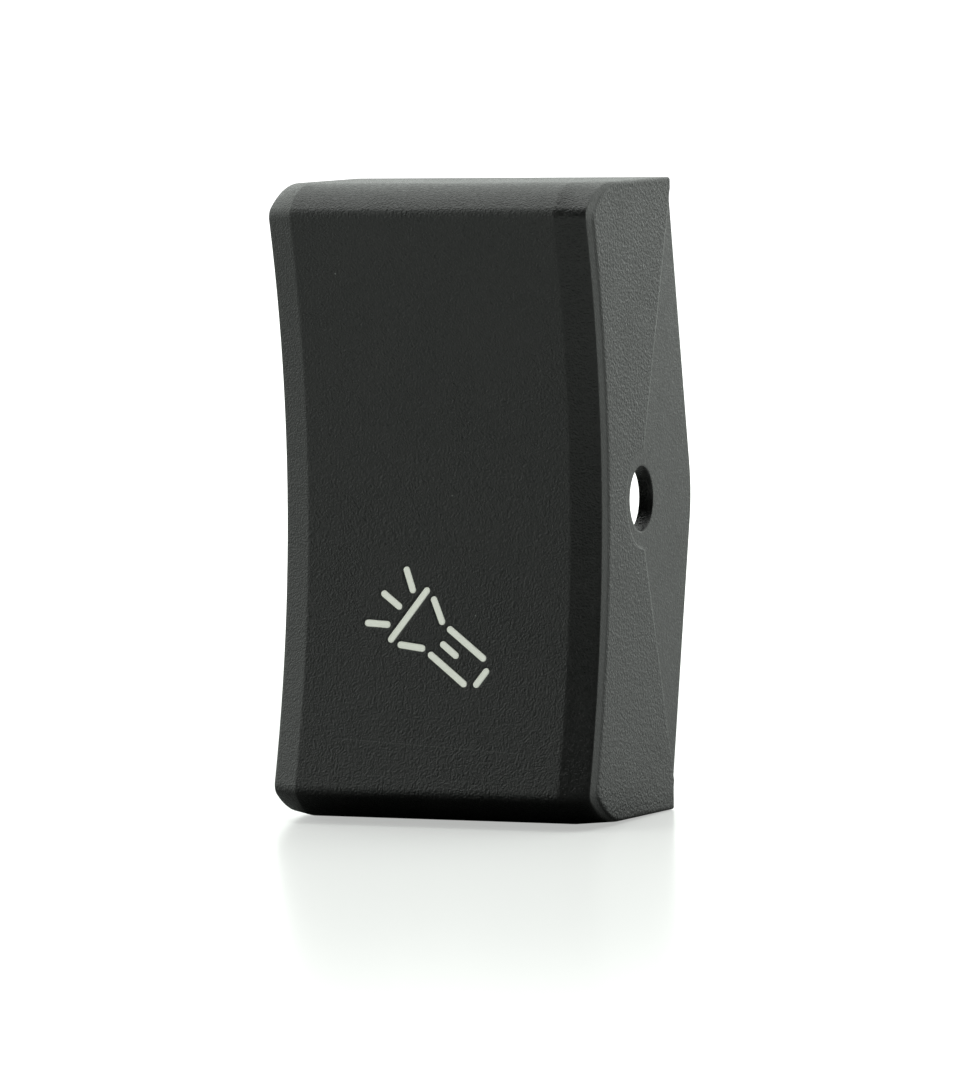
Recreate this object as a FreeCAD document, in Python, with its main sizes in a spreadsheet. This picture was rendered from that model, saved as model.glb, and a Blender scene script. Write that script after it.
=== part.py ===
# Clip-on button of a panel rocker switch: a hollow moulded cap with two pivot ears,
# an illuminated legend, a light box and two sprung plungers.
# Frame: X to the right, Y to the rear, Z up along the button. The origin is on the
# pivot axis, at mid-width. Millimetres.
import FreeCAD, Part
import math
import os
import Sketcher
from FreeCAD import Placement, Rotation, Vector

os.makedirs("parts", exist_ok=True)
doc = FreeCAD.newDocument("rocker_button")

# ---------------------------------------------------------------- driving dimensions
SIZES = [
    ("length", 44.0), ("width", 23.6), ("face_radius", 70.5), ("face_depth", 8.15),
    ("face_half", 9.66), ("bevel_edge", 11.6), ("bevel_back", 0.85), ("wall_back", 2.0),
    ("crease_round", 0.8), ("end_round", 4.65), ("end_flat", 7.2), ("draft", 0.2),
    ("bevel_round", 8.1), ("bevel_flat", 4.9), ("wall_round", 6.6), ("wall_flat", 3.85),
    ("rear", 5.8), ("ear_start", 20.4), ("ear_tip", 9.95), ("ear_round", 10.0),
    ("wall", 1.1), ("face_wall", 1.4), ("end_wall", 1.2), ("pivot_r", 2.26),
    ("ear_step", 0.07), ("legend_x", -0.2), ("legend_z", -9.1), ("stroke", 0.45),
    ("slot_gap", 0.03), ("plate_back", 1.2), ("shelf_z", 17.4), ("shelf_half", 5.0),
    ("pad_thick", 1.2), ("stake_r", 0.8), ("boss_r", 1.5), ("head_r", 1.3),
    ("seat_y", 6.0), ("flange", 1.2), ("carrier_x", 6.9), ("carrier_z", 3.6),
    ("shroud_x", 8.1), ("shroud_z", 8.8), ("tube_x", 3.2), ("tube_r", 2.3),
    ("bore_r", 1.7), ("lip_r", 1.3), ("tube_end", 6.0), ("lip", 0.8),
    ("shoulder", 2.0), ("run_gap", 0.05), ("nose_y", 10.9), ("spigot_r", 0.85),
    ("coil_r", 1.275), ("wire_r", 0.175), ("coils", 8.0), ("shroud_wall", 0.9),
    ("shroud_rear", 1.0), ("wall_soft", 0.2),
]
sheet = doc.addObject("Spreadsheet::Sheet", "size")
for row, (name, value) in enumerate(SIZES, start=1):
    sheet.set("A%d" % row, name)
    sheet.set("B%d" % row, str(value))
    sheet.setAlias("B%d" % row, name)
doc.recompute()


class Dim:
    """A number together with the sheet expression that yields it."""

    def __init__(self, value, text):
        self.value = float(value)
        self.text = text

    @staticmethod
    def of(other):
        return other if isinstance(other, Dim) else Dim(other, repr(float(other)))

    def __add__(self, other):
        other = Dim.of(other)
        return Dim(self.value + other.value, "(%s + %s)" % (self.text, other.text))

    def __sub__(self, other):
        other = Dim.of(other)
        return Dim(self.value - other.value, "(%s - %s)" % (self.text, other.text))

    def __mul__(self, other):
        other = Dim.of(other)
        return Dim(self.value * other.value, "(%s * %s)" % (self.text, other.text))

    def __neg__(self):
        return Dim(-self.value, "(0 - %s)" % self.text)

    __radd__ = __add__
    __rmul__ = __mul__


D = {name: Dim(value, "size." + name) for name, value in SIZES}


def bind(obj, prop, dim):
    """Give a property its value and tie it to the sheet."""
    dim = Dim.of(dim)
    setattr(obj, prop, dim.value)
    obj.setExpression(prop, dim.text)


# ---------------------------------------------------------------- sketch helpers
def new_body(label):
    body = doc.addObject("PartDesign::Body", label)
    body.Label = label
    return body


def plane(body, role):
    return next(f for f in body.Origin.OriginFeatures if f.Role == role)


def new_sketch(body, role, offset, name):
    sketch = body.newObject("Sketcher::SketchObject", name)
    sketch.AttachmentSupport = [(plane(body, role), "")]
    sketch.MapMode = "FlatFace"
    offset = Dim.of(offset)
    sketch.AttachmentOffset = Placement(Vector(0, 0, offset.value), Rotation())
    sketch.setExpression("AttachmentOffset.Base.z", offset.text)
    return sketch


def fix(sketch, kind, *args):
    """Add a dimensional constraint whose last argument is a Dim or a number."""
    dim = Dim.of(args[-1])
    index = sketch.addConstraint(Sketcher.Constraint(kind, *args[:-1], dim.value))
    sketch.setExpression("Constraints[%d]" % index, dim.text)


def pin(sketch, geo, pos, point):
    """Fix a vertex by its two coordinates."""
    fix(sketch, "DistanceX", -1, 1, geo, pos, point[0])
    fix(sketch, "DistanceY", -1, 1, geo, pos, point[1])


def vec(point):
    return Vector(Dim.of(point[0]).value, Dim.of(point[1]).value, 0)


def polygon(sketch, points):
    first = None
    count = len(points)
    for i, point in enumerate(points):
        line = Part.LineSegment(vec(point), vec(points[(i + 1) % count]))
        geo = sketch.addGeometry(line)
        first = geo if first is None else first
    for i in range(count):
        sketch.addConstraint(
            Sketcher.Constraint("Coincident", first + i, 2, first + (i + 1) % count, 1))
    for i, point in enumerate(points):
        pin(sketch, first + i, 1, point)


def rectangle(sketch, x0, y0, x1, y1):
    polygon(sketch, [(x0, y0), (x1, y0), (x1, y1), (x0, y1)])


def circle(sketch, x, y, radius):
    centre = vec((x, y))
    geo = sketch.addGeometry(Part.Circle(centre, Vector(0, 0, 1), Dim.of(radius).value))
    fix(sketch, "Radius", geo, radius)
    pin(sketch, geo, 3, (x, y))


def arc(sketch, centre, radius, start, end):
    """Counter-clockwise arc between two angles in radians."""
    full = Part.Circle(vec(centre), Vector(0, 0, 1), Dim.of(radius).value)
    return sketch.addGeometry(Part.ArcOfCircle(full, start, end))


def tangent(sketch, first, first_pos, second, second_pos):
    sketch.addConstraint(
        Sketcher.Constraint("Tangent", first, first_pos, second, second_pos))


def join(sketch, first, first_pos, second, second_pos):
    sketch.addConstraint(
        Sketcher.Constraint("Coincident", first, first_pos, second, second_pos))


def extrude(body, kind, sketch, length, name, both=False, flip=False):
    """Pad or pocket; a pocket must take material away and a pad must add it."""
    doc.recompute()
    before = body.Shape.Volume if body.Tip is not None and not body.Shape.isNull() else 0
    feature = body.newObject("PartDesign::" + kind, name)
    feature.Profile = sketch
    bind(feature, "Length", length)
    if both:
        feature.Midplane = True
    feature.Reversed = flip
    doc.recompute()
    gained = feature.Shape.Volume - before
    if (gained <= 0) == (kind == "Pad"):
        raise RuntimeError("%s changes the volume by %.4f" % (name, gained))
    return feature


# ---------------------------------------------------------------- side outline
def unit(origin, point):
    dx = point[0] - origin[0]
    dy = point[1] - origin[1]
    size = math.hypot(dx, dy)
    return dx / size, dy / size


def angle(origin, point):
    return math.atan2(point[1] - origin[1], point[0] - origin[0])


def circles_meet(c0, r0, c1, r1):
    """Upper intersection of two circles."""
    gap = math.dist(c0, c1)
    along = (r0 * r0 - r1 * r1 + gap * gap) / (2 * gap)
    off = math.sqrt(r0 * r0 - along * along)
    ux, uy = unit(c0, c1)
    return c0[0] + along * ux - off * uy, c0[1] + along * uy + off * ux


def side_outline(sketch, face_back, flat_front, end_r):
    """Closed outline seen from the side: the face set back, and its own end rounds."""
    radius = D["face_radius"] + face_back
    centre = (-(D["face_depth"] + D["face_radius"]), Dim.of(0))
    small = D["crease_round"]
    flat_y = -flat_front
    flat_z = D["length"] * 0.5 - D["draft"]
    rear_z = D["length"] * 0.5
    rear = D["rear"]

    # The end line carries the draft, so the round's centre is square to that line.
    slope = math.atan2(rear_z.value - flat_z.value, rear.value - flat_y.value)
    end_c = (flat_y.value + end_r.value * math.sin(slope),
             flat_z.value - end_r.value * math.cos(slope))
    face_c = (centre[0].value, 0.0)
    small_c = circles_meet(face_c, radius.value + small.value,
                           end_c, end_r.value - small.value)
    to_face = angle(small_c, face_c) % (2 * math.pi)
    to_end = angle(end_c, small_c) % (2 * math.pi)
    face_end = angle(face_c, small_c)
    top = math.pi / 2 + slope

    ear_z = D["ear_start"]
    ear_angle = math.atan2(D["ear_tip"].value - rear.value, ear_z.value)
    ear_c = (D["ear_tip"].value - D["ear_round"].value / math.cos(ear_angle), 0.0)

    def line(y0, z0, y1, z1):
        return sketch.addGeometry(Part.LineSegment(Vector(y0, z0, 0), Vector(y1, z1, 0)))

    def touch(sign):
        return (ear_c[0] + D["ear_round"].value * math.cos(ear_angle),
                sign * D["ear_round"].value * math.sin(ear_angle))

    face = arc(sketch, centre, radius, -face_end, face_end)
    crease = {}
    ends = {}
    flats = {}
    backs = {}
    ears = {}
    for sign in (1, -1):
        if sign > 0:
            crease[sign] = arc(sketch, small_c, small, to_end, to_face)
            ends[sign] = arc(sketch, end_c, end_r, top, to_end)
        else:
            low = (small_c[0], -small_c[1])
            low_end = (end_c[0], -end_c[1])
            crease[sign] = arc(sketch, low, small, -to_face, -to_end)
            ends[sign] = arc(sketch, low_end, end_r, -to_end, -top)
        flats[sign] = line(flat_y.value, sign * flat_z.value, rear.value, sign * rear_z.value)
        backs[sign] = line(rear.value, sign * rear_z.value, rear.value, sign * ear_z.value)
        ty, tz = touch(sign)
        ears[sign] = line(rear.value, sign * ear_z.value, ty, tz)
    nose = arc(sketch, ear_c, D["ear_round"], -ear_angle, ear_angle)

    fix(sketch, "Radius", face, radius)
    pin(sketch, face, 3, centre)
    fix(sketch, "Radius", nose, D["ear_round"])
    for sign in (1, -1):
        up = sign > 0
        tangent(sketch, face, 2 if up else 1, crease[sign], 2 if up else 1)
        tangent(sketch, crease[sign], 1 if up else 2, ends[sign], 2 if up else 1)
        tangent(sketch, ends[sign], 1 if up else 2, flats[sign], 1)
        join(sketch, flats[sign], 2, backs[sign], 1)
        join(sketch, backs[sign], 2, ears[sign], 1)
        tangent(sketch, ears[sign], 2, nose, 2 if up else 1)
        fix(sketch, "Radius", crease[sign], small)
        fix(sketch, "Radius", ends[sign], end_r)
        pin(sketch, flats[sign], 1, (flat_y, flat_z * sign))
        pin(sketch, flats[sign], 2, (rear, rear_z * sign))
        pin(sketch, backs[sign], 2, (rear, ear_z * sign))
    fix(sketch, "DistanceX", -1, 1, nose, 3, Dim.of(ear_c[0]))


# ---------------------------------------------------------------- legend strokes
# A hand torch throwing three rays, in open strokes with round ends, so that no part
# of the face is cut loose. u runs along the rays and v across them.
RAY_ANGLE = math.radians(143.0)
BAR_STROKES = [
    ((2.35, -2.1), (2.35, 2.1)),
    ((1.55, 1.95), (0.15, 1.15)), ((1.55, -1.95), (0.15, -1.15)),
    ((-0.65, 1.1), (-3.8, 1.1)), ((-0.65, -1.1), (-3.8, -1.1)),
    ((-4.55, 0.55), (-4.55, -0.55)),
    ((-0.9, 0.0), (-2.1, 0.0)),
    ((3.3, 0.0), (4.7, 0.0)),
    ((3.2, 1.5), (4.4, 2.3)), ((3.2, -1.5), (4.4, -2.3)),
]


def legend_point(u, v):
    x = u * math.cos(RAY_ANGLE) - v * math.sin(RAY_ANGLE)
    z = u * math.sin(RAY_ANGLE) + v * math.cos(RAY_ANGLE)
    return D["legend_x"] + x, D["legend_z"] + z


def end_cap(sketch, centre, radius, outward):
    """Half circle that closes a stroke, bulging along the given angle."""
    geo = arc(sketch, centre, radius, outward - math.pi / 2, outward + math.pi / 2)
    pin(sketch, geo, 3, centre)
    fix(sketch, "Radius", geo, radius)
    return geo


def bar_stroke(sketch, start, end, half):
    first = legend_point(*start)
    last = legend_point(*end)
    heading = math.atan2(last[1].value - first[1].value, last[0].value - first[0].value)
    tail = end_cap(sketch, first, half, heading + math.pi)
    head = end_cap(sketch, last, half, heading)
    across = (-math.sin(heading) * half.value, math.cos(heading) * half.value)
    for sign, tail_pos, head_pos in ((1, 1, 2), (-1, 2, 1)):
        line = sketch.addGeometry(Part.LineSegment(
            vec((first[0] + across[0] * sign, first[1] + across[1] * sign)),
            vec((last[0] + across[0] * sign, last[1] + across[1] * sign))))
        tangent(sketch, line, 1, tail, tail_pos)
        tangent(sketch, line, 2, head, head_pos)


def legend_strokes(sketch, widen):
    half = D["stroke"] * 0.5 + widen
    for start, end in BAR_STROKES:
        bar_stroke(sketch, start, end, half)


# ---------------------------------------------------------------- rocker cap
cap = new_body("rocker_cap")
face_section = new_sketch(cap, "YZ_Plane", 0, "cap_face_outline")
side_outline(face_section, Dim.of(0), D["end_flat"], D["end_round"])
extrude(cap, "Pad", face_section, D["face_half"] * 2, "cap_core", both=True)

# Each flank runs from the face, over the long bevel, to the side wall.
FLANK = [
    ("face_edge", D["face_half"], Dim.of(0), D["end_flat"], D["end_round"]),
    ("bevel_edge", D["bevel_edge"], D["bevel_back"], D["bevel_flat"], D["bevel_round"]),
    ("wall_edge", D["width"] * 0.5, D["wall_back"], D["wall_flat"], D["wall_round"]),
]
for side in (1, -1):
    sections = []
    hand = "right" if side > 0 else "left"
    for name, x, back, flat_front, end_r in FLANK:
        section = new_sketch(cap, "YZ_Plane", x * side, "%s_%s" % (name, hand))
        side_outline(section, back, flat_front, end_r)
        sections.append(section)
    for inner, outer in zip(sections, sections[1:]):
        doc.recompute()
        loft = cap.newObject("PartDesign::AdditiveLoft", "flank_" + outer.Name)
        loft.Profile = inner
        loft.Sections = [outer]
        loft.Ruled = True
        doc.recompute()



def flank_edges(shape, x):
    """Names of the edges that run round the front at a given distance from mid-width."""
    names = []
    for index, edge in enumerate(shape.Edges, start=1):
        ends = [v.Point for v in edge.Vertexes]
        on_plane = all(abs(abs(p.x) - x) < 1e-4 and p.y < 0 for p in ends)
        if on_plane and ends[0].x * ends[-1].x > 0:
            names.append("Edge%d" % index)
    return names


# The side walls' front edges are softened.
sharp = cap.Tip
soft = cap.newObject("PartDesign::Fillet", "soft_wall")
soft.Base = (sharp, flank_edges(sharp.Shape, (D["width"] * 0.5).value))
bind(soft, "Radius", D["wall_soft"])
doc.recompute()

# Hollow, open to the rear.
cavity = new_sketch(cap, "YZ_Plane", 0, "cap_cavity")
cavity_r = D["face_radius"] + D["face_wall"]
cavity_c = -(D["face_depth"] + D["face_radius"])
corner_z = 18.6
corner_y = cavity_c.value + math.sqrt(cavity_r.value ** 2 - corner_z ** 2)
ceiling = D["length"] * 0.5 - D["end_wall"]
lean = math.asin(corner_z / cavity_r.value)
front = arc(cavity, (cavity_c, 0), cavity_r, -lean, lean)
path = [(corner_y, corner_z), (-7.2, ceiling - 0.1), (12.0, ceiling),
        (12.0, -ceiling), (-7.2, -ceiling + 0.1), (corner_y, -corner_z)]
lines = [cavity.addGeometry(Part.LineSegment(vec(a), vec(b)))
         for a, b in zip(path, path[1:])]
fix(cavity, "Radius", front, cavity_r)
pin(cavity, front, 3, (cavity_c, 0))
join(cavity, front, 2, lines[0], 1)
join(cavity, front, 1, lines[-1], 2)
for a, b in zip(lines, lines[1:]):
    join(cavity, a, 2, b, 1)
for index, point in enumerate(path[1:-1]):
    pin(cavity, lines[index], 2, point)
fix(cavity, "DistanceY", -1, 1, lines[0], 1, corner_z)
fix(cavity, "DistanceY", -1, 1, lines[-1], 2, -corner_z)
extrude(cap, "Pocket", cavity, D["width"] - D["wall"] * 2, "cap_hollow", both=True)

# Pivot bores through both ears.
bores = new_sketch(cap, "YZ_Plane", 0, "pivot_axis")
circle(bores, 0, 0, D["pivot_r"])
extrude(cap, "Pocket", bores, D["width"] + 4, "pivot_bores", both=True)

# The ears are a little proud-cut: a shallow step along the mould's parting line.
EAR_ARC = [(0.45 + 3.5 * math.cos(math.radians(a)), 3.5 * math.sin(math.radians(a)))
           for a in range(92, 270, 22)]
EAR_ZONE = [(7.2, 25.0), (5.5, 20.4)] + EAR_ARC + [(5.3, -18.2), (7.6, -25.0),
                                                 (13.0, -25.0), (13.0, 25.0)]
for side in (1, -1):
    zone = new_sketch(cap, "YZ_Plane", (D["width"] * 0.5 - D["ear_step"]) * side,
                      "ear_zone_%s" % ("right" if side > 0 else "left"))
    polygon(zone, EAR_ZONE)
    extrude(cap, "Pocket", zone, 2.0, "ear_step_%s" % ("right" if side > 0 else "left"),
            flip=side > 0)

# Legend slots through the face.
slots = new_sketch(cap, "XZ_Plane", D["seat_y"], "legend_slots")
legend_strokes(slots, D["slot_gap"])
extrude(cap, "Pocket", slots, 4.0, "legend_cut", flip=True)

# Shelves for the stop pads, from the end walls.
shelves = new_sketch(cap, "YZ_Plane", 0, "pad_shelves")
rectangle(shelves, -0.7, D["shelf_z"], 0.7, D["length"] * 0.5 - 0.9)
rectangle(shelves, -0.7, -(D["length"] * 0.5) + 0.9, 0.7, -D["shelf_z"])
extrude(cap, "Pad", shelves, D["shelf_half"] * 2, "shelves", both=True)

# Bosses and heat stakes that hold the carrier and the light box.
STAKES = [(D["carrier_x"], D["carrier_z"]), (-D["carrier_x"], D["carrier_z"]),
          (D["shroud_x"] - 0.5, -D["shroud_z"]), (-D["shroud_x"] - 0.5, -D["shroud_z"])]
HEAD = 0.5
top_y = D["seat_y"] - D["flange"]
for name, radius, offset, depth in (
        ("stake_bosses", D["boss_r"], D["seat_y"], Dim.of(1.5)),
        ("stake_pins", D["stake_r"], top_y - 0.2, D["flange"] + 1.5),
        ("stake_heads", D["head_r"], top_y - HEAD, Dim.of(HEAD))):
    posts = new_sketch(cap, "XZ_Plane", offset, name + "_outline")
    for x, z in STAKES:
        circle(posts, x, z, radius)
    extrude(cap, "Pad", posts, depth, name)

# ---------------------------------------------------------------- legend insert
insert = new_body("legend_insert")
PLATE = (-14.0, -3.7)
plate_r = cavity_r + D["plate_back"]


def curved_band(sketch, inner_r, outer_r, z_low, z_high, rear_y=None):
    """Band behind the cap's inner face between two heights."""
    cy = cavity_c.value

    def at(radius, z):
        return cy + math.sqrt(radius.value ** 2 - z ** 2)

    lower = math.asin(z_low / inner_r.value)
    upper = math.asin(z_high / inner_r.value)
    near = arc(sketch, (cavity_c, 0), inner_r, lower, upper)
    fix(sketch, "Radius", near, inner_r)
    pin(sketch, near, 3, (cavity_c, 0))
    fix(sketch, "DistanceY", -1, 1, near, 1, z_low)
    fix(sketch, "DistanceY", -1, 1, near, 2, z_high)
    if rear_y is None:
        back = arc(sketch, (cavity_c, 0), outer_r,
                   math.asin(z_low / outer_r.value), math.asin(z_high / outer_r.value))
        fix(sketch, "Radius", back, outer_r)
        join(sketch, back, 3, near, 3)
        far = (at(outer_r, z_low), at(outer_r, z_high))
    else:
        value = Dim.of(rear_y).value
        back = sketch.addGeometry(Part.LineSegment(Vector(value, z_low, 0),
                                                   Vector(value, z_high, 0)))
        fix(sketch, "DistanceX", -1, 1, back, 1, rear_y)
        fix(sketch, "DistanceX", -1, 1, back, 2, rear_y)
        far = (value, value)
    fix(sketch, "DistanceY", -1, 1, back, 1, z_low)
    fix(sketch, "DistanceY", -1, 1, back, 2, z_high)
    for pos, z, y in ((1, z_low, far[0]), (2, z_high, far[1])):
        edge = sketch.addGeometry(Part.LineSegment(Vector(at(inner_r, z), z, 0),
                                                   Vector(y, z, 0)))
        join(sketch, near, pos, edge, 1)
        join(sketch, back, pos, edge, 2)


plate = new_sketch(insert, "YZ_Plane", 6.0, "plate_side")
curved_band(plate, cavity_r, plate_r, *PLATE)
extrude(insert, "Pad", plate, 13.0, "plate", flip=True)
ribs = new_sketch(insert, "XZ_Plane", 6.8, "legend_ribs")
legend_strokes(ribs, Dim.of(0))
extrude(insert, "Pad", ribs, 4.0, "ribs")
trim = new_sketch(insert, "YZ_Plane", 0, "face_trim")
rib_face = D["face_radius"] + 0.02
trim_lean = math.asin(17.0 / rib_face.value)
trim_arc = arc(trim, (cavity_c, 0), rib_face, -trim_lean, trim_lean)
trim_y = cavity_c.value + math.sqrt(rib_face.value ** 2 - 17.0 ** 2)
trim_path = [(trim_y, 17.0), (-14.0, 17.0), (-14.0, -17.0), (trim_y, -17.0)]
trim_lines = [trim.addGeometry(Part.LineSegment(vec(a), vec(b)))
              for a, b in zip(trim_path, trim_path[1:])]
fix(trim, "Radius", trim_arc, rib_face)
pin(trim, trim_arc, 3, (cavity_c, 0))
join(trim, trim_arc, 2, trim_lines[0], 1)
join(trim, trim_lines[0], 2, trim_lines[1], 1)
join(trim, trim_lines[1], 2, trim_lines[2], 1)
join(trim, trim_lines[2], 2, trim_arc, 1)
pin(trim, trim_lines[1], 1, (-14.0, 17.0))
pin(trim, trim_lines[1], 2, (-14.0, -17.0))
fix(trim, "DistanceY", -1, 1, trim_lines[0], 1, 17.0)
fix(trim, "DistanceY", -1, 1, trim_lines[2], 2, -17.0)
extrude(insert, "Pocket", trim, 40.0, "flush_with_face", both=True)

# ---------------------------------------------------------------- lamp shroud
shroud = new_body("lamp_shroud")
BOX = (-14.4, -3.3)
box_half = 6.9
outside = new_sketch(shroud, "YZ_Plane", box_half - 0.5, "shroud_side")
curved_band(outside, plate_r, plate_r, BOX[0], BOX[1], D["shroud_rear"])
extrude(shroud, "Pad", outside, box_half * 2, "shroud_box", flip=True)
flange = new_sketch(shroud, "XZ_Plane", top_y, "shroud_flange")
rectangle(flange, -D["shroud_x"] - 2.3, -D["shroud_z"] - 2.2,
          D["shroud_x"] + 1.3, -D["shroud_z"] + 2.2)
extrude(shroud, "Pad", flange, D["flange"], "flange")
lamp_room = new_sketch(shroud, "XZ_Plane", 10.0, "lamp_room")
wall = D["shroud_wall"].value
rectangle(lamp_room, -0.5 - box_half + wall, BOX[0] + wall, -0.5 + box_half - wall, BOX[1] - wall)
extrude(shroud, "Pocket", lamp_room, 14.0, "lamp_room_cut")
holes = new_sketch(shroud, "XZ_Plane", 8.0, "shroud_stake_holes")
for x, z in STAKES[2:]:
    circle(holes, x, z, D["stake_r"] + D["run_gap"])
extrude(shroud, "Pocket", holes, 6.0, "shroud_holes")

# ---------------------------------------------------------------- plunger carrier
carrier = new_body("plunger_carrier")
bridge = new_sketch(carrier, "XZ_Plane", top_y, "bridge_outline")
rectangle(bridge, -D["carrier_x"] - 1.9, -2.7, D["carrier_x"] + 1.9, D["carrier_z"] + 2.2)
extrude(carrier, "Pad", bridge, D["flange"], "bridge")
tubes = new_sketch(carrier, "XZ_Plane", -D["tube_end"], "tube_outline")
for side in (1, -1):
    circle(tubes, D["tube_x"] * side, 0, D["tube_r"])
extrude(carrier, "Pad", tubes, D["tube_end"] + D["seat_y"], "tubes")
web = new_sketch(carrier, "XZ_Plane", -2.0, "web_outline")
rectangle(web, -D["tube_x"], -0.5, D["tube_x"], 0.5)
extrude(carrier, "Pad", web, 8.0, "web")
guide = new_sketch(carrier, "XZ_Plane", D["lip"] - D["tube_end"], "guide_bore")
lips = new_sketch(carrier, "XZ_Plane", -D["tube_end"] - 1, "lip_bore")
for side in (1, -1):
    circle(guide, D["tube_x"] * side, 0, D["bore_r"])
    circle(lips, D["tube_x"] * side, 0, D["lip_r"])
extrude(carrier, "Pocket", guide, 14.0, "guide_bores", flip=True)
extrude(carrier, "Pocket", lips, 4.0, "lip_bores", flip=True)
stake_holes = new_sketch(carrier, "XZ_Plane", 8.0, "carrier_stake_holes")
for x, z in STAKES[:2]:
    circle(stake_holes, x, z, D["stake_r"] + D["run_gap"])
extrude(carrier, "Pocket", stake_holes, 6.0, "carrier_holes")


# ---------------------------------------------------------------- plungers
def plunger(label, side):
    """Turned acetal pin: spring spigot, shoulder, stem and rounded nose."""
    body = new_body(label)
    sketch = new_sketch(body, "XY_Plane", 0, label + "_half")
    stem_r = D["lip_r"] - D["run_gap"]
    shoulder_r = D["bore_r"] - D["run_gap"]
    lip_y = D["tube_end"] - D["lip"]
    back_y = lip_y - D["shoulder"]
    nose = 0.9
    polygon(sketch, [
        (0, back_y - 2.0), (D["spigot_r"] - 0.2, back_y - 2.0), (D["spigot_r"], back_y - 1.8),
        (D["spigot_r"], back_y), (shoulder_r, back_y), (shoulder_r, lip_y),
        (stem_r, lip_y), (stem_r, D["nose_y"] - nose),
        (stem_r - 0.12, D["nose_y"] - 0.52), (stem_r - 0.4, D["nose_y"] - 0.2),
        (stem_r - 0.8, D["nose_y"] - 0.04), (0, D["nose_y"])])
    doc.recompute()
    turned = body.newObject("PartDesign::Revolution", label + "_turned")
    turned.Profile = sketch
    turned.ReferenceAxis = (sketch, ["V_Axis"])
    turned.Angle = 360.0
    bind_x = D["tube_x"] * side
    body.Placement = Placement(Vector(bind_x.value, 0, 0), Rotation())
    body.setExpression("Placement.Base.x", bind_x.text)
    doc.recompute()
    return body


plungers = [plunger("plunger_right", 1), plunger("plunger_left", -1)]


# ---------------------------------------------------------------- springs
def spring(label, side):
    """Compression spring between the cap's inner face and the plunger's shoulder."""
    seat = -(D["face_depth"] - D["face_wall"]) + D["wire_r"] + 0.03
    last = D["tube_end"] - D["lip"] - D["shoulder"] - D["wire_r"] - 0.01
    rise = last - seat
    helix = doc.addObject("Part::Helix", label + "_helix")
    bind(helix, "Radius", D["coil_r"])
    bind(helix, "Height", rise)
    helix.Pitch = rise.value / D["coils"].value
    helix.setExpression("Pitch", "%s / %s" % (rise.text, D["coils"].text))
    helix.LocalCoord = 0
    helix.Placement = Placement(Vector(D["tube_x"].value * side, seat.value, 0),
                                Rotation(Vector(1, 0, 0), -90))
    wire = doc.addObject("Part::Circle", label + "_wire")
    bind(wire, "Radius", D["wire_r"])
    wire.Placement = Placement(
        Vector(D["tube_x"].value * side + D["coil_r"].value, seat.value, 0),
        Rotation(Vector(0, 0, 1), 0))
    doc.recompute()
    sweep = doc.addObject("Part::Sweep", label)
    sweep.Label = label
    sweep.Sections = [wire]
    sweep.Spine = (helix, ["Edge%d" % (i + 1) for i in range(len(helix.Shape.Edges))])
    sweep.Solid = True
    sweep.Frenet = True
    doc.recompute()
    return sweep


springs = [spring("plunger_spring_right", 1), spring("plunger_spring_left", -1)]


# ---------------------------------------------------------------- stop pads
def stop_pad(label, sign):
    """Moulded elastomer bumper bonded to the rear of a shelf."""
    body = new_body(label)
    sketch = new_sketch(body, "XZ_Plane", -0.7, label + "_outline")
    low = D["shelf_z"] + 0.5
    high = D["shelf_z"] + 2.9
    half = D["shelf_half"] - 0.6
    if sign > 0:
        rectangle(sketch, -half, low, half, high)
    else:
        rectangle(sketch, -half, -high, half, -low)
    block = extrude(body, "Pad", sketch, D["pad_thick"], label + "_block", flip=True)
    rear_y = 0.7 + D["pad_thick"].value
    names = []
    for index, edge in enumerate(block.Shape.Edges, start=1):
        if all(abs(v.Point.y - rear_y) < 1e-6 for v in edge.Vertexes):
            names.append("Edge%d" % index)
    rounded = body.newObject("PartDesign::Fillet", label + "_round")
    rounded.Base = (block, names)
    rounded.Radius = 0.35
    doc.recompute()
    return body


pads = [stop_pad("stop_pad_upper", 1), stop_pad("stop_pad_lower", -1)]

# ---------------------------------------------------------------- checks and files
doc.recompute()
for obj in doc.Objects:
    if "Invalid" in obj.State or "Error" in obj.State:
        raise RuntimeError("%s failed: %s" % (obj.Name, obj.State))

for node in [cap, insert, shroud, carrier] + plungers + springs + pads:
    shape = node.Shape
    if shape.isNull() or not shape.isValid() or shape.Volume <= 0:
        raise RuntimeError("%s has no valid shape" % node.Label)
    if len(shape.Solids) != 1:
        raise RuntimeError("%s has %d solids" % (node.Label, len(shape.Solids)))
    shape.exportStep("parts/%s.step" % node.Label)
    print("%-22s %9.2f mm3" % (node.Label, shape.Volume))
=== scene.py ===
import math

import bmesh
import bpy
from mathutils import Matrix, Vector


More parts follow.
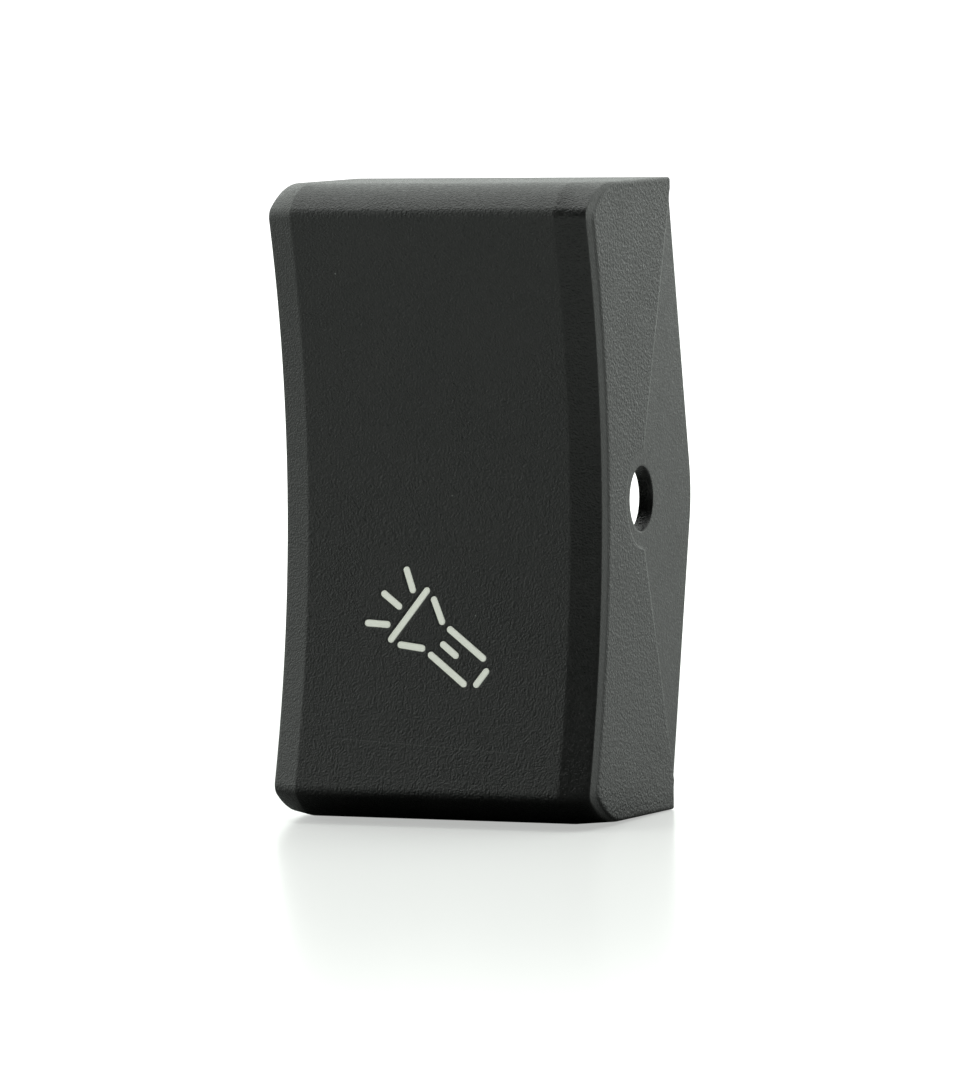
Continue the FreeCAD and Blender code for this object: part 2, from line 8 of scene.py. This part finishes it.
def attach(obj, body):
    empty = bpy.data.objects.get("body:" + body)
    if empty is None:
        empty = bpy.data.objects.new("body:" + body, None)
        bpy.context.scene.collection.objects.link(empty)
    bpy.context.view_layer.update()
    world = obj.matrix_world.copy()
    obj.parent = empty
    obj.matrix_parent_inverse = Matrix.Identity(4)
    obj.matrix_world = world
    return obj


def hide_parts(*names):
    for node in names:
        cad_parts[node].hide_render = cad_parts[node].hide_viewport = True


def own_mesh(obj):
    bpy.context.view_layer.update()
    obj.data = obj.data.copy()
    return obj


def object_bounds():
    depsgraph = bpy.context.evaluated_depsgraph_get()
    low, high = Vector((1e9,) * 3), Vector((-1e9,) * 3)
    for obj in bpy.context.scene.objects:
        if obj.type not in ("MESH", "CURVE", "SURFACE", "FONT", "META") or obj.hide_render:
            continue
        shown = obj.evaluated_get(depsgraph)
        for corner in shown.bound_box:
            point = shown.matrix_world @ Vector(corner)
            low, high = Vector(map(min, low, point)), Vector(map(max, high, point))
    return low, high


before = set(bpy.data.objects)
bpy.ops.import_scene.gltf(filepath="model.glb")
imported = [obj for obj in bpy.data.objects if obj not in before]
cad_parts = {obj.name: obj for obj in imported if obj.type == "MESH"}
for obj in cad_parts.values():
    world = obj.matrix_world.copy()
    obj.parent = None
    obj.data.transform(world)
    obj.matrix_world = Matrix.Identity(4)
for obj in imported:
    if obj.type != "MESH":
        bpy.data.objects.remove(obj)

cad_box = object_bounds()

# --- Rocker cap -------------------------------------------------------------------
# The black clip-on button: one injection moulding in filled nylon, spark-eroded on
# its side walls, finer on the hollowed face, with a polished patch on each ear. It
# hangs on the switch by the bores in its ears.
CAP_BLACK = (0.0048, 0.0058, 0.0050, 1.0)
CAP_BLACK_WORN = (0.0078, 0.0084, 0.0076, 1.0)
WALL_START = 0.01165
WALL_FULL = 0.01172
WALL_PLAIN = 0.01179
BEVEL_OUTER = 0.0113
WALL_GRAIN = 0.00019
FACE_GRAIN = 0.00014
CREASE_RADIUS = 0.00026
PARTING_ARC = (0.00045, 0.0, 0.0035)
PARTING_MEETS = (0.00033, 0.0035)
UPPER_PARTING = (0.0055, 0.0204)
LOWER_PARTING = (0.0053, -0.0182)
PARTING_BLUR = 0.00003
LONG_SCRATCH = ((-0.0078, -0.0161), (0.0098, -0.0170), 0.00006)
SHORT_SCRATCH = ((-0.0064, -0.0185), (0.0052, -0.01885), 0.00005)
SCUFFED_SPOT = (-0.0036, 0.0, -0.0168)


def moulded(name, colour, roughness, specular=0.5):
    """A new material with its shader's plain values set."""
    material = bpy.data.materials.new(name)
    material.use_nodes = True
    shader = material.node_tree.nodes["Principled BSDF"]
    shader.inputs["Base Color"].default_value = colour
    shader.inputs["Roughness"].default_value = roughness
    shader.inputs["Specular IOR Level"].default_value = specular
    return material, material.node_tree, shader


def feed(tree, socket, value):
    """Link a socket or set a plain value."""
    if isinstance(value, bpy.types.NodeSocket):
        tree.links.new(value, socket)
    else:
        socket.default_value = value


def number(tree, operation, *values):
    """One Math node on sockets or plain numbers."""
    node = tree.nodes.new("ShaderNodeMath")
    node.operation = operation
    for socket, value in zip(node.inputs, values):
        feed(tree, socket, value)
    return node.outputs[0]


def ramp(tree, value, low, high, start=0.0, end=1.0):
    """start below low, end above high, and smooth between."""
    node = tree.nodes.new("ShaderNodeMapRange")
    node.interpolation_type = "SMOOTHSTEP"
    for socket, setting in zip(node.inputs, (value, low, high, start, end)):
        feed(tree, socket, setting)
    return node.outputs["Result"]


def vector(tree, operation, *values):
    """One Vector Math node on sockets or plain vectors."""
    node = tree.nodes.new("ShaderNodeVectorMath")
    node.operation = operation
    for socket, value in zip(node.inputs, values):
        feed(tree, socket, value)
    return node.outputs["Value" if operation in ("DOT_PRODUCT", "LENGTH") else "Vector"]


def stretch(tree, where, scale, turn=(0.0, 0.0, 0.0)):
    """Coordinates turned and scaled, for a pattern with a direction."""
    node = tree.nodes.new("ShaderNodeMapping")
    feed(tree, node.inputs["Vector"], where)
    node.inputs["Rotation"].default_value = turn
    node.inputs["Scale"].default_value = scale
    return node.outputs[0]


def noise(tree, where, size, detail=2.0, roughness=0.5, seed=0.0):
    """Fractal noise with lumps about size metres across."""
    node = tree.nodes.new("ShaderNodeTexNoise")
    feed(tree, node.inputs["Vector"], vector(tree, "ADD", where, (seed * 0.013, 0.0, 0.0)))
    node.inputs["Scale"].default_value = 1.0 / size
    node.inputs["Detail"].default_value = detail
    node.inputs["Roughness"].default_value = roughness
    return node.outputs["Fac"]


def cells(tree, where, size):
    """Distance in a cell pattern with cells about size metres across."""
    node = tree.nodes.new("ShaderNodeTexVoronoi")
    feed(tree, node.inputs["Vector"], where)
    node.inputs["Scale"].default_value = 1.0 / size
    return node.outputs["Distance"]


def blended(tree, share, first, second):
    """A colour between first and second."""
    node = tree.nodes.new("ShaderNodeMix")
    node.data_type = "RGBA"
    feed(tree, node.inputs[0], share)
    feed(tree, node.inputs[6], first)
    feed(tree, node.inputs[7], second)
    return node.outputs[2]


def relief(tree, shader, height, depth, crease=0.0):
    """Bump of the given depth in metres, over creases rounded to a radius."""
    bump = tree.nodes.new("ShaderNodeBump")
    bump.inputs["Strength"].default_value = 1.0
    bump.inputs["Distance"].default_value = depth
    feed(tree, bump.inputs["Height"], height)
    if crease:
        soft = tree.nodes.new("ShaderNodeBevel")
        soft.samples = 4
        soft.inputs["Radius"].default_value = crease
        tree.links.new(soft.outputs[0], bump.inputs["Normal"])
    tree.links.new(bump.outputs[0], shader.inputs["Normal"])


def own_space(tree):
    """The piece's own coordinates."""
    return tree.nodes.new("ShaderNodeTexCoord").outputs["Object"]


def coordinates(tree):
    """The piece's own coordinates, whole and split."""
    where = own_space(tree)
    split = tree.nodes.new("ShaderNodeSeparateXYZ")
    tree.links.new(where, split.inputs[0])
    return where, split.outputs[0], split.outputs[1], split.outputs[2]


def scratch(tree, x, z, start, end, width):
    """1 along a fine straight scratch on the face, in x and z, fading at its ends."""
    run = end[0] - start[0]
    slope = (end[1] - start[1]) / run
    line = number(tree, "MULTIPLY_ADD", x, slope, start[1] - slope * start[0])
    off = number(tree, "ABSOLUTE", number(tree, "SUBTRACT", z, line))
    thin = ramp(tree, off, width * 0.3, width, 1.0, 0.0)
    begin = ramp(tree, x, start[0], start[0] + abs(run) * 0.12)
    finish = ramp(tree, x, end[0] - abs(run) * 0.3, end[0], 1.0, 0.0)
    return number(tree, "MULTIPLY", thin, number(tree, "MULTIPLY", begin, finish))


def dress(node_name, material):
    """Give a CAD node one material all over."""
    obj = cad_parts[node_name]
    obj.data.materials.clear()
    obj.data.materials.append(material)


cap_plastic, tree, shader = moulded("cap_nylon", CAP_BLACK, 0.42)
where, x, y, z = coordinates(tree)
side = number(tree, "ABSOLUTE", x)
on_wall = ramp(tree, side, WALL_START, WALL_FULL)

# The ear patch lies behind two straight parting lines and an arc round the bore.
arc_y, arc_z, arc_r = PARTING_ARC
meet_y, meet_z = PARTING_MEETS
upper_slope = (UPPER_PARTING[0] - meet_y) / (UPPER_PARTING[1] - meet_z)
lower_slope = (LOWER_PARTING[0] - meet_y) / (LOWER_PARTING[1] + meet_z)
upper_line = number(tree, "MULTIPLY_ADD", z, upper_slope, meet_y - meet_z * upper_slope)
lower_line = number(tree, "MULTIPLY_ADD", z, lower_slope, meet_y + meet_z * lower_slope)
front_limit = number(tree, "MAXIMUM", upper_line, lower_line)
behind_line = ramp(tree, number(tree, "SUBTRACT", y, front_limit), -PARTING_BLUR, PARTING_BLUR)
arc_offset = vector(tree, "LENGTH", vector(tree, "MULTIPLY", vector(
    tree, "SUBTRACT", where, (0.0, arc_y, arc_z)), (0.0, 1.0, 1.0)))
inside_arc = ramp(tree, arc_offset, arc_r - PARTING_BLUR, arc_r + PARTING_BLUR, 1.0, 0.0)
ear_patch = number(tree, "MULTIPLY", on_wall, number(tree, "MAXIMUM", behind_line, inside_arc))

pits = cells(tree, where, WALL_GRAIN)
lumps = noise(tree, where, WALL_GRAIN * 1.3, 1.0, 0.5, 4.0)
wall_texture = number(tree, "ADD", number(tree, "MULTIPLY", pits, 0.55), lumps)
face_texture = noise(tree, where, FACE_GRAIN, 1.5, 0.6, 2.0)
patchy = noise(tree, where, 0.0038, 3.0, 0.6, 3.0)
plain_wall = number(tree, "MAXIMUM", ramp(tree, side, WALL_FULL, WALL_PLAIN), ear_patch)
wall_share = number(tree, "MULTIPLY_ADD", ear_patch, -0.72, 1.0)
wall_share = number(tree, "MULTIPLY", wall_share, plain_wall)
grain = number(tree, "MULTIPLY", wall_texture, number(tree, "MULTIPLY", wall_share, 0.72))
grain = number(tree, "ADD", grain, number(tree, "MULTIPLY", face_texture, ramp(
    tree, side, BEVEL_OUTER, WALL_FULL, 1.5, 0.35)))

long_scratch = scratch(tree, x, z, *LONG_SCRATCH)
short_scratch = scratch(tree, x, z, *SHORT_SCRATCH)
scuffed = number(tree, "MULTIPLY", ramp(tree, noise(tree, stretch(
    tree, where, (1.0, 1.0, 0.16), (0.0, math.radians(38.0), 0.0)), 0.00034, 1.0, 0.5, 7.0),
    0.50, 0.70), ramp(tree, vector(tree, "LENGTH", vector(tree, "MULTIPLY", vector(
        tree, "SUBTRACT", where, SCUFFED_SPOT), (0.55, 0.0, 1.0))), 0.0011, 0.0026,
        1.0, 0.0))
both_scratches = number(tree, "MULTIPLY_ADD", short_scratch, 0.5, long_scratch)
on_front = ramp(tree, y, -0.0060, -0.0055, 1.0, 0.0)
marks = number(tree, "MULTIPLY", both_scratches, on_front)
dust = ramp(tree, cells(tree, where, 0.0027), 0.018, 0.030, 1.0, 0.0)
ear_dust = number(tree, "MULTIPLY", ramp(tree, cells(tree, where, 0.0007), 0.05, 0.10, 1.0, 0.0),
                  number(tree, "MULTIPLY", ramp(tree, y, 0.0062, 0.0090), ear_patch))

relief(tree, shader, grain, 0.000062, CREASE_RADIUS)
gloss = number(tree, "MULTIPLY_ADD", patchy, 0.12, 0.33)
mottle = noise(tree, where, 0.00023, 1.0, 0.5, 9.0)
gloss = number(tree, "ADD", gloss, number(tree, "MULTIPLY_ADD", mottle, 0.34, -0.17))
gloss = number(tree, "ADD", gloss, number(tree, "MULTIPLY", scuffed, 0.05))
gloss = number(tree, "ADD", gloss, number(tree, "MULTIPLY", ear_patch, -0.05))
tree.links.new(gloss, shader.inputs["Roughness"])
tone = blended(tree, ramp(tree, patchy, 0.35, 0.65), CAP_BLACK, CAP_BLACK_WORN)
tone = blended(tree, number(tree, "MULTIPLY", marks, 0.5), tone, (0.040, 0.042, 0.040, 1.0))
tone = blended(tree, number(tree, "MULTIPLY", dust, 0.35), tone, (0.30, 0.31, 0.29, 1.0))
tone = blended(tree, number(tree, "MULTIPLY", ear_dust, 0.6), tone, (0.45, 0.46, 0.44, 1.0))
tree.links.new(tone, shader.inputs["Base Color"])
dress("rocker_cap", cap_plastic)

# --- Parting flash ----------------------------------------------------------------
# The hair of nylon left where the mould's side core met the cavity: a fine raised
# line round the front of each ear's polished patch, part of the cap itself.
FLASH_RADIUS = 0.00008
flash_line = [UPPER_PARTING]
flash_line += [(arc_y + arc_r * math.cos(math.radians(angle)),
                arc_z + arc_r * math.sin(math.radians(angle))) for angle in range(92, 270, 11)]
flash_line += [LOWER_PARTING]
flash_mesh = bpy.data.meshes.new("parting_flash")
bm = bmesh.new()
for hand in (1.0, -1.0):
    level = hand * (cad_box[1][0] - FLASH_RADIUS)
    path = [Vector((level, py + 0.00004, pz)) for py, pz in flash_line]
    ring = bmesh.ops.create_circle(bm, segments=10, radius=FLASH_RADIUS)["verts"]
    bmesh.ops.translate(bm, verts=ring, vec=path[0])
    edges = list({edge for vert in ring for edge in vert.link_edges})
    bmesh.ops.contextual_create(bm, geom=edges)
    for here, there in zip(path, path[1:]):
        grown = bmesh.ops.extrude_edge_only(bm, edges=edges)["geom"]
        ring = [item for item in grown if isinstance(item, bmesh.types.BMVert)]
        edges = [item for item in grown if isinstance(item, bmesh.types.BMEdge)]
        bmesh.ops.translate(bm, verts=ring, vec=there - here)
    bmesh.ops.contextual_create(bm, geom=edges)
bmesh.ops.recalc_face_normals(bm, faces=bm.faces)
bm.to_mesh(flash_mesh)
bm.free()
for face in flash_mesh.polygons:
    face.use_smooth = True
flash = bpy.data.objects.new("parting_flash", flash_mesh)
bpy.context.scene.collection.objects.link(flash)
# The flash is the cap's black nylon; its pale grey colour is a painted highlight along the
# raised line.
flash_painted_highlight, tree, shader = moulded("flash_nylon_painted_highlight", (0.24, 0.25, 0.24, 1.0), 0.3)
where = own_space(tree)
uneven = noise(tree, where, 0.0009, 2.0, 0.6, 8.0)
tree.links.new(ramp(tree, uneven, 0.3, 0.7, 0.22, 0.5), shader.inputs["Roughness"])
relief(tree, shader, uneven, 0.00002)
flash_mesh.materials.append(flash_painted_highlight)
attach(flash, "button")

# --- Legend insert ----------------------------------------------------------------
# A translucent white plate moulded behind the face, whose raised strokes fill the
# legend slots nearly flush with the black, so the lamp behind can light them. A weak
# emission stands in for light scattered through it.
legend_white, tree, shader = moulded("legend_white", (0.80, 0.82, 0.73, 1.0), 0.38)
shader.inputs["Emission Color"].default_value = (0.93, 0.98, 0.86, 1.0)
shader.inputs["Emission Strength"].default_value = 0.24
shader.inputs["Subsurface Weight"].default_value = 0.12
shader.inputs["Subsurface Radius"].default_value = (0.0006, 0.0006, 0.0005)
shader.inputs["Subsurface Scale"].default_value = 1.0
where = own_space(tree)
cloudy = noise(tree, where, 0.0016, 3.0, 0.6, 11.0)
tree.links.new(blended(tree, cloudy, (0.76, 0.78, 0.68, 1.0), (0.84, 0.85, 0.78, 1.0)),
               shader.inputs["Base Color"])
tree.links.new(ramp(tree, cloudy, 0.3, 0.7, 0.3, 0.46), shader.inputs["Roughness"])
relief(tree, shader, noise(tree, where, 0.00022, 2.0, 0.5, 12.0), 0.000010, 0.00006)
dress("legend_insert", legend_white)

# --- Lamp shroud ------------------------------------------------------------------
# White light box behind the legend, in opaque polycarbonate, held by two heat
# stakes through its flanges and open to the rear for the lamp.
shroud_white, tree, shader = moulded("shroud_white", (0.72, 0.72, 0.68, 1.0), 0.45)
where = own_space(tree)
flow = noise(tree, stretch(tree, where, (1.0, 0.35, 1.0)), 0.0035, 3.0, 0.6, 14.0)
tree.links.new(blended(tree, flow, (0.66, 0.65, 0.60, 1.0), (0.78, 0.78, 0.75, 1.0)),
               shader.inputs["Base Color"])
tree.links.new(ramp(tree, flow, 0.3, 0.7, 0.34, 0.55), shader.inputs["Roughness"])
relief(tree, shader, noise(tree, where, 0.0003, 2.0, 0.5, 15.0), 0.000012, 0.00012)
dress("lamp_shroud", shroud_white)

# --- Plunger carrier --------------------------------------------------------------
# Bridge with two guide tubes in glass-filled nylon, staked to bosses on the cap: a
# dark grey moulding with pale fibre ends showing in its skin.
carrier_grey, tree, shader = moulded("carrier_grey", (0.030, 0.031, 0.034, 1.0), 0.5)
where = own_space(tree)
fibres = ramp(tree, noise(tree, stretch(tree, where, (0.22, 1.0, 1.0), (0.0, 0.2, 0.3)),
                          0.00012, 1.0, 0.5, 17.0), 0.60, 0.72)
swirl = noise(tree, where, 0.0030, 3.0, 0.6, 18.0)
grey = blended(tree, swirl, (0.022, 0.023, 0.026, 1.0), (0.045, 0.046, 0.049, 1.0))
tree.links.new(blended(tree, number(tree, "MULTIPLY", fibres, 0.35), grey,
                       (0.16, 0.16, 0.16, 1.0)), shader.inputs["Base Color"])
tree.links.new(ramp(tree, swirl, 0.3, 0.7, 0.42, 0.62), shader.inputs["Roughness"])
relief(tree, shader, number(tree, "ADD", fibres, noise(tree, where, 0.00025, 2.0, 0.5, 19.0)),
       0.000012, 0.00012)
dress("plunger_carrier", carrier_grey)

# --- Heat stakes ------------------------------------------------------------------
# The four nylon posts moulded in the cap are melted over at assembly, into shiny low
# domes that hold the plunger carrier and the light box.
STAKE_SPOTS = ((0.0069, 0.0036), (-0.0069, 0.0036), (0.0076, -0.0088), (-0.0086, -0.0088))
STAKE_RADIUS = 0.0013
STAKE_FACE = -0.00432
DOME_HEIGHT = 0.00038
dome_mesh = bpy.data.meshes.new("stake_domes")
bm = bmesh.new()
for spot_x, spot_z in STAKE_SPOTS:
    profile = [bm.verts.new((spot_x + STAKE_RADIUS * math.cos(math.radians(angle)),
                             STAKE_FACE + DOME_HEIGHT * math.sin(math.radians(angle)), spot_z))
               for angle in range(0, 91, 10)]
    curve = [bm.edges.new(pair) for pair in zip(profile, profile[1:])]
    bmesh.ops.spin(bm, geom=profile + curve, cent=(spot_x, 0.0, spot_z), axis=(0.0, 1.0, 0.0),
                   dvec=(0.0, 0.0, 0.0), angle=2.0 * math.pi, steps=40, use_merge=True)
bmesh.ops.remove_doubles(bm, verts=bm.verts, dist=0.000002)
rims = [edge for edge in bm.edges if edge.is_boundary]
bmesh.ops.holes_fill(bm, edges=rims, sides=0)
bmesh.ops.recalc_face_normals(bm, faces=bm.faces)
bm.to_mesh(dome_mesh)
bm.free()
for face in dome_mesh.polygons:
    face.use_smooth = len(face.vertices) <= 4
domes = bpy.data.objects.new("stake_domes", dome_mesh)
bpy.context.scene.collection.objects.link(domes)
melted, tree, shader = moulded("melted_nylon", (0.008, 0.009, 0.008, 1.0), 0.22)
where = own_space(tree)
ripple = noise(tree, where, 0.0005, 3.0, 0.6, 29.0)
tree.links.new(ramp(tree, ripple, 0.3, 0.7, 0.16, 0.34), shader.inputs["Roughness"])
tree.links.new(blended(tree, ripple, (0.006, 0.007, 0.006, 1.0), (0.014, 0.015, 0.014, 1.0)),
               shader.inputs["Base Color"])
relief(tree, shader, ripple, 0.00002)
dome_mesh.materials.append(melted)
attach(domes, "button")

# --- Plungers ---------------------------------------------------------------------
# Natural acetal pins with polished noses, which slide in the carrier's tubes and
# press on the switch's contact rocker. Fine rings show where they rub.
acetal, tree, shader = moulded("plunger_acetal", (0.70, 0.66, 0.55, 1.0), 0.28)
shader.inputs["Subsurface Weight"].default_value = 0.10
shader.inputs["Subsurface Radius"].default_value = (0.0008, 0.0007, 0.0005)
shader.inputs["Subsurface Scale"].default_value = 1.0
where, _, y, _ = coordinates(tree)
rings = noise(tree, stretch(tree, where, (0.05, 1.0, 0.05)), 0.00016, 2.0, 0.6, 21.0)
nose = ramp(tree, y, 0.0098, 0.0104)
tree.links.new(blended(tree, ramp(tree, rings, 0.45, 0.75, 0.0, 0.6), (0.72, 0.68, 0.57, 1.0),
                       (0.58, 0.54, 0.45, 1.0)), shader.inputs["Base Color"])
tree.links.new(number(tree, "MULTIPLY_ADD", nose, -0.14, number(
    tree, "MULTIPLY_ADD", rings, 0.16, 0.24)), shader.inputs["Roughness"])
relief(tree, shader, rings, 0.000006, 0.00010)
dress("plunger_left", acetal)
dress("plunger_right", acetal)

# --- Stop pads --------------------------------------------------------------------
# Elastomer bumpers bonded to the cap's inner shelves, which land on the switch body
# at each end of the throw. Their crowns are burnished by it.
pad_rubber, tree, shader = moulded("pad_rubber", (0.022, 0.022, 0.023, 1.0), 0.75)
where, _, y, _ = coordinates(tree)
bloom = noise(tree, where, 0.0011, 4.0, 0.65, 24.0)
rubbed = ramp(tree, y, 0.00165, 0.0019)
tree.links.new(blended(tree, number(tree, "MULTIPLY", bloom, 0.8), (0.016, 0.016, 0.017, 1.0),
                       (0.052, 0.052, 0.053, 1.0)), shader.inputs["Base Color"])
tree.links.new(number(tree, "MULTIPLY_ADD", rubbed, -0.22, number(
    tree, "MULTIPLY_ADD", bloom, 0.2, 0.66)), shader.inputs["Roughness"])
relief(tree, shader, noise(tree, where, 0.00016, 2.0, 0.6, 25.0), 0.000016, 0.00014)
dress("stop_pad_upper", pad_rubber)
dress("stop_pad_lower", pad_rubber)

# --- Plunger springs --------------------------------------------------------------
# Hard-drawn steel compression springs with a closed coil at each end, each between
# the back of the face and the shoulder in its plunger. They shorten as it slides in
# the switch; each coil here is built at one length on the button.
SPRING_X = 0.0032
COIL_RADIUS = 0.001275
WIRE_RADIUS = 0.000172
SPRING_SEAT = -0.00675
SPRING_TOP = 0.0032
CLOSED_PITCH = 0.00036
OPEN_COILS = 6.0
STEPS_A_TURN = 36
spring_steel, tree, shader = moulded("spring_steel", (0.52, 0.53, 0.54, 1.0), 0.28)
shader.inputs["Metallic"].default_value = 1.0
where = own_space(tree)
drawn = noise(tree, where, 0.00035, 3.0, 0.6, 27.0)
tree.links.new(ramp(tree, drawn, 0.3, 0.7, 0.20, 0.40), shader.inputs["Roughness"])
tree.links.new(blended(tree, drawn, (0.44, 0.45, 0.46, 1.0), (0.60, 0.60, 0.60, 1.0)),
               shader.inputs["Base Color"])
relief(tree, shader, drawn, 0.000006)
for hand, label in ((1.0, "right"), (-1.0, "left")):
    centre_x = hand * SPRING_X
    first = SPRING_SEAT + WIRE_RADIUS
    last = SPRING_TOP - WIRE_RADIUS
    open_rise = (last - first) - 2.0 * CLOSED_PITCH
    spring_mesh = bpy.data.meshes.new("coil_spring_" + label)
    bm = bmesh.new()
    ring = bmesh.ops.create_circle(bm, segments=14, radius=WIRE_RADIUS)["verts"]
    bmesh.ops.translate(bm, verts=ring, vec=(centre_x + COIL_RADIUS, first, 0.0))
    edges = list({edge for vert in ring for edge in vert.link_edges})
    bmesh.ops.contextual_create(bm, geom=edges)
    for turns, rise in ((1.0, CLOSED_PITCH), (OPEN_COILS, open_rise), (1.0, CLOSED_PITCH)):
        steps = int(turns * STEPS_A_TURN)
        grown = bmesh.ops.spin(bm, geom=edges, cent=(centre_x, 0.0, 0.0), axis=(0.0, 1.0, 0.0),
                               dvec=(0.0, rise / steps, 0.0), angle=turns * 2.0 * math.pi,
                               steps=steps, use_merge=False)["geom_last"]
        edges = [item for item in grown if isinstance(item, bmesh.types.BMEdge)]
    bmesh.ops.contextual_create(bm, geom=edges)
    bmesh.ops.recalc_face_normals(bm, faces=bm.faces)
    bm.to_mesh(spring_mesh)
    bm.free()
    for face in spring_mesh.polygons:
        face.use_smooth = True
    coil = bpy.data.objects.new("coil_spring_" + label, spring_mesh)
    bpy.context.scene.collection.objects.link(coil)
    spring_mesh.materials.append(spring_steel)
    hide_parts("plunger_spring_" + label)
    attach(coil, "button")
    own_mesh(coil)

# --- Floor, backdrop and light ----------------------------------------------------
# A white acrylic sheet with a soft sheen, under a broad overhead softbox, with a
# white room behind and to the left and a dim one where the camera stands. Emission
# that only the camera sees, strongest far out, keeps the sheet white, and a painted
# shadow darkens the sheet just in front of the base for all other rays.
FLOOR_Z = cad_box[0][2]
floor_mesh = bpy.data.meshes.new("floor")
bm = bmesh.new()
bmesh.ops.create_grid(bm, x_segments=1, y_segments=1, size=2.4)
bmesh.ops.translate(bm, verts=bm.verts, vec=(0.0, 0.0, FLOOR_Z - 0.00002))
bm.to_mesh(floor_mesh)
bm.free()
floor = bpy.data.objects.new("floor", floor_mesh)
bpy.context.scene.collection.objects.link(floor)
floor_white = bpy.data.materials.new("floor_white")
floor_white.use_nodes = True
tree = floor_white.node_tree
tree.nodes.remove(tree.nodes["Principled BSDF"])
seen = tree.nodes.new("ShaderNodeLightPath").outputs["Is Camera Ray"]
where = own_space(tree)
from_base = vector(tree, "LENGTH", vector(tree, "MULTIPLY", where, (1.0, 1.0, 0.0)))
# Painted shadow: for rays other than the camera's, the sheet is dark in a patch just in front of
# the base.
painted_shadow_distance = vector(tree, "LENGTH", vector(tree, "MULTIPLY", vector(
    tree, "SUBTRACT", where, (0.002, -0.013, 0.0)), (1.0, 1.0, 0.0)))
painted_shadow_falloff = ramp(tree, painted_shadow_distance, 0.007, 0.030)
floor_with_painted_shadow = blended(tree, painted_shadow_falloff, (0.05, 0.052, 0.05, 1.0), (0.52, 0.53, 0.52, 1.0))
matt = tree.nodes.new("ShaderNodeBsdfDiffuse")
tree.links.new(blended(tree, seen, floor_with_painted_shadow, (0.44, 0.447, 0.44, 1.0)), matt.inputs["Color"])
glow = tree.nodes.new("ShaderNodeEmission")
glow.inputs["Color"].default_value = (0.985, 1.0, 0.98, 1.0)
tree.links.new(number(tree, "MULTIPLY", seen, ramp(tree, from_base, 0.04, 0.20, 0.63, 1.05)),
               glow.inputs["Strength"])
body = tree.nodes.new("ShaderNodeAddShader")
tree.links.new(matt.outputs[0], body.inputs[0])
tree.links.new(glow.outputs[0], body.inputs[1])
sheen = tree.nodes.new("ShaderNodeBsdfAnisotropic")
sheen.inputs["Color"].default_value = (1.0, 1.0, 1.0, 1.0)
sheen.inputs["Roughness"].default_value = 0.22
together = tree.nodes.new("ShaderNodeMixShader")
tree.links.new(number(tree, "MULTIPLY", seen, ramp(tree, from_base, 0.06, 0.22, 0.27, 0.03)),
               together.inputs[0])
tree.links.new(body.outputs[0], together.inputs[1])
tree.links.new(sheen.outputs[0], together.inputs[2])
tree.links.new(together.outputs[0], tree.nodes["Material Output"].inputs["Surface"])
floor_mesh.materials.append(floor_white)

softbox = bpy.data.lights.new("softbox", "AREA")
softbox.shape = "RECTANGLE"
softbox.size, softbox.size_y = 1.1, 0.8
softbox.energy = 3.0
softbox_object = bpy.data.objects.new("softbox", softbox)
bpy.context.scene.collection.objects.link(softbox_object)
softbox_object.location = (0.0, 0.12, 0.85)

world = bpy.data.worlds.new("studio")
bpy.context.scene.world = world
world.use_nodes = True
tree = world.node_tree
direction = tree.nodes.new("ShaderNodeTexCoord").outputs["Generated"]
toward_camera = vector(tree, "DOT_PRODUCT", direction, (0.66, -0.74, 0.08))
level = ramp(tree, toward_camera, 0.03, 0.61, 1.48, 0.005)
seen = tree.nodes.new("ShaderNodeLightPath").outputs["Is Camera Ray"]
tree.links.new(number(tree, "MAXIMUM", level, seen), tree.nodes["Background"].inputs["Strength"])
tree.links.new(blended(tree, seen, (0.95, 1.0, 0.955, 1.0), (1.0, 1.0, 1.0, 1.0)),
               tree.nodes["Background"].inputs["Color"])
bpy.context.scene.view_settings.view_transform = "Standard"

# --- Camera -----------------------------------------------------------------------
# A long lens near the height of the button, a little to the right of its face.
AZIMUTH = math.radians(22.0)
ELEVATION = math.radians(3.53)
ROLL = math.radians(-0.474)
DISTANCE = 0.4583
AIM = Vector((0.00306, -0.0071, -0.00256))
back = Vector((math.sin(AZIMUTH) * math.cos(ELEVATION),
               -math.cos(AZIMUTH) * math.cos(ELEVATION), math.sin(ELEVATION)))
right = Vector((math.cos(AZIMUTH), math.sin(AZIMUTH), 0.0))
upward = back.cross(right)
turned_right = math.cos(ROLL) * right + math.sin(ROLL) * upward
turned_up = -math.sin(ROLL) * right + math.cos(ROLL) * upward
lens = bpy.data.cameras.new("camera")
lens.lens = 224.0
lens.sensor_width = 36.0
camera = bpy.data.objects.new("camera", lens)
bpy.context.scene.collection.objects.link(camera)
camera.matrix_world = Matrix((
    (turned_right.x, turned_up.x, back.x, AIM.x + DISTANCE * back.x),
    (turned_right.y, turned_up.y, back.y, AIM.y + DISTANCE * back.y),
    (turned_right.z, turned_up.z, back.z, AIM.z + DISTANCE * back.z),
    (0.0, 0.0, 0.0, 1.0)))
bpy.context.scene.camera = camera
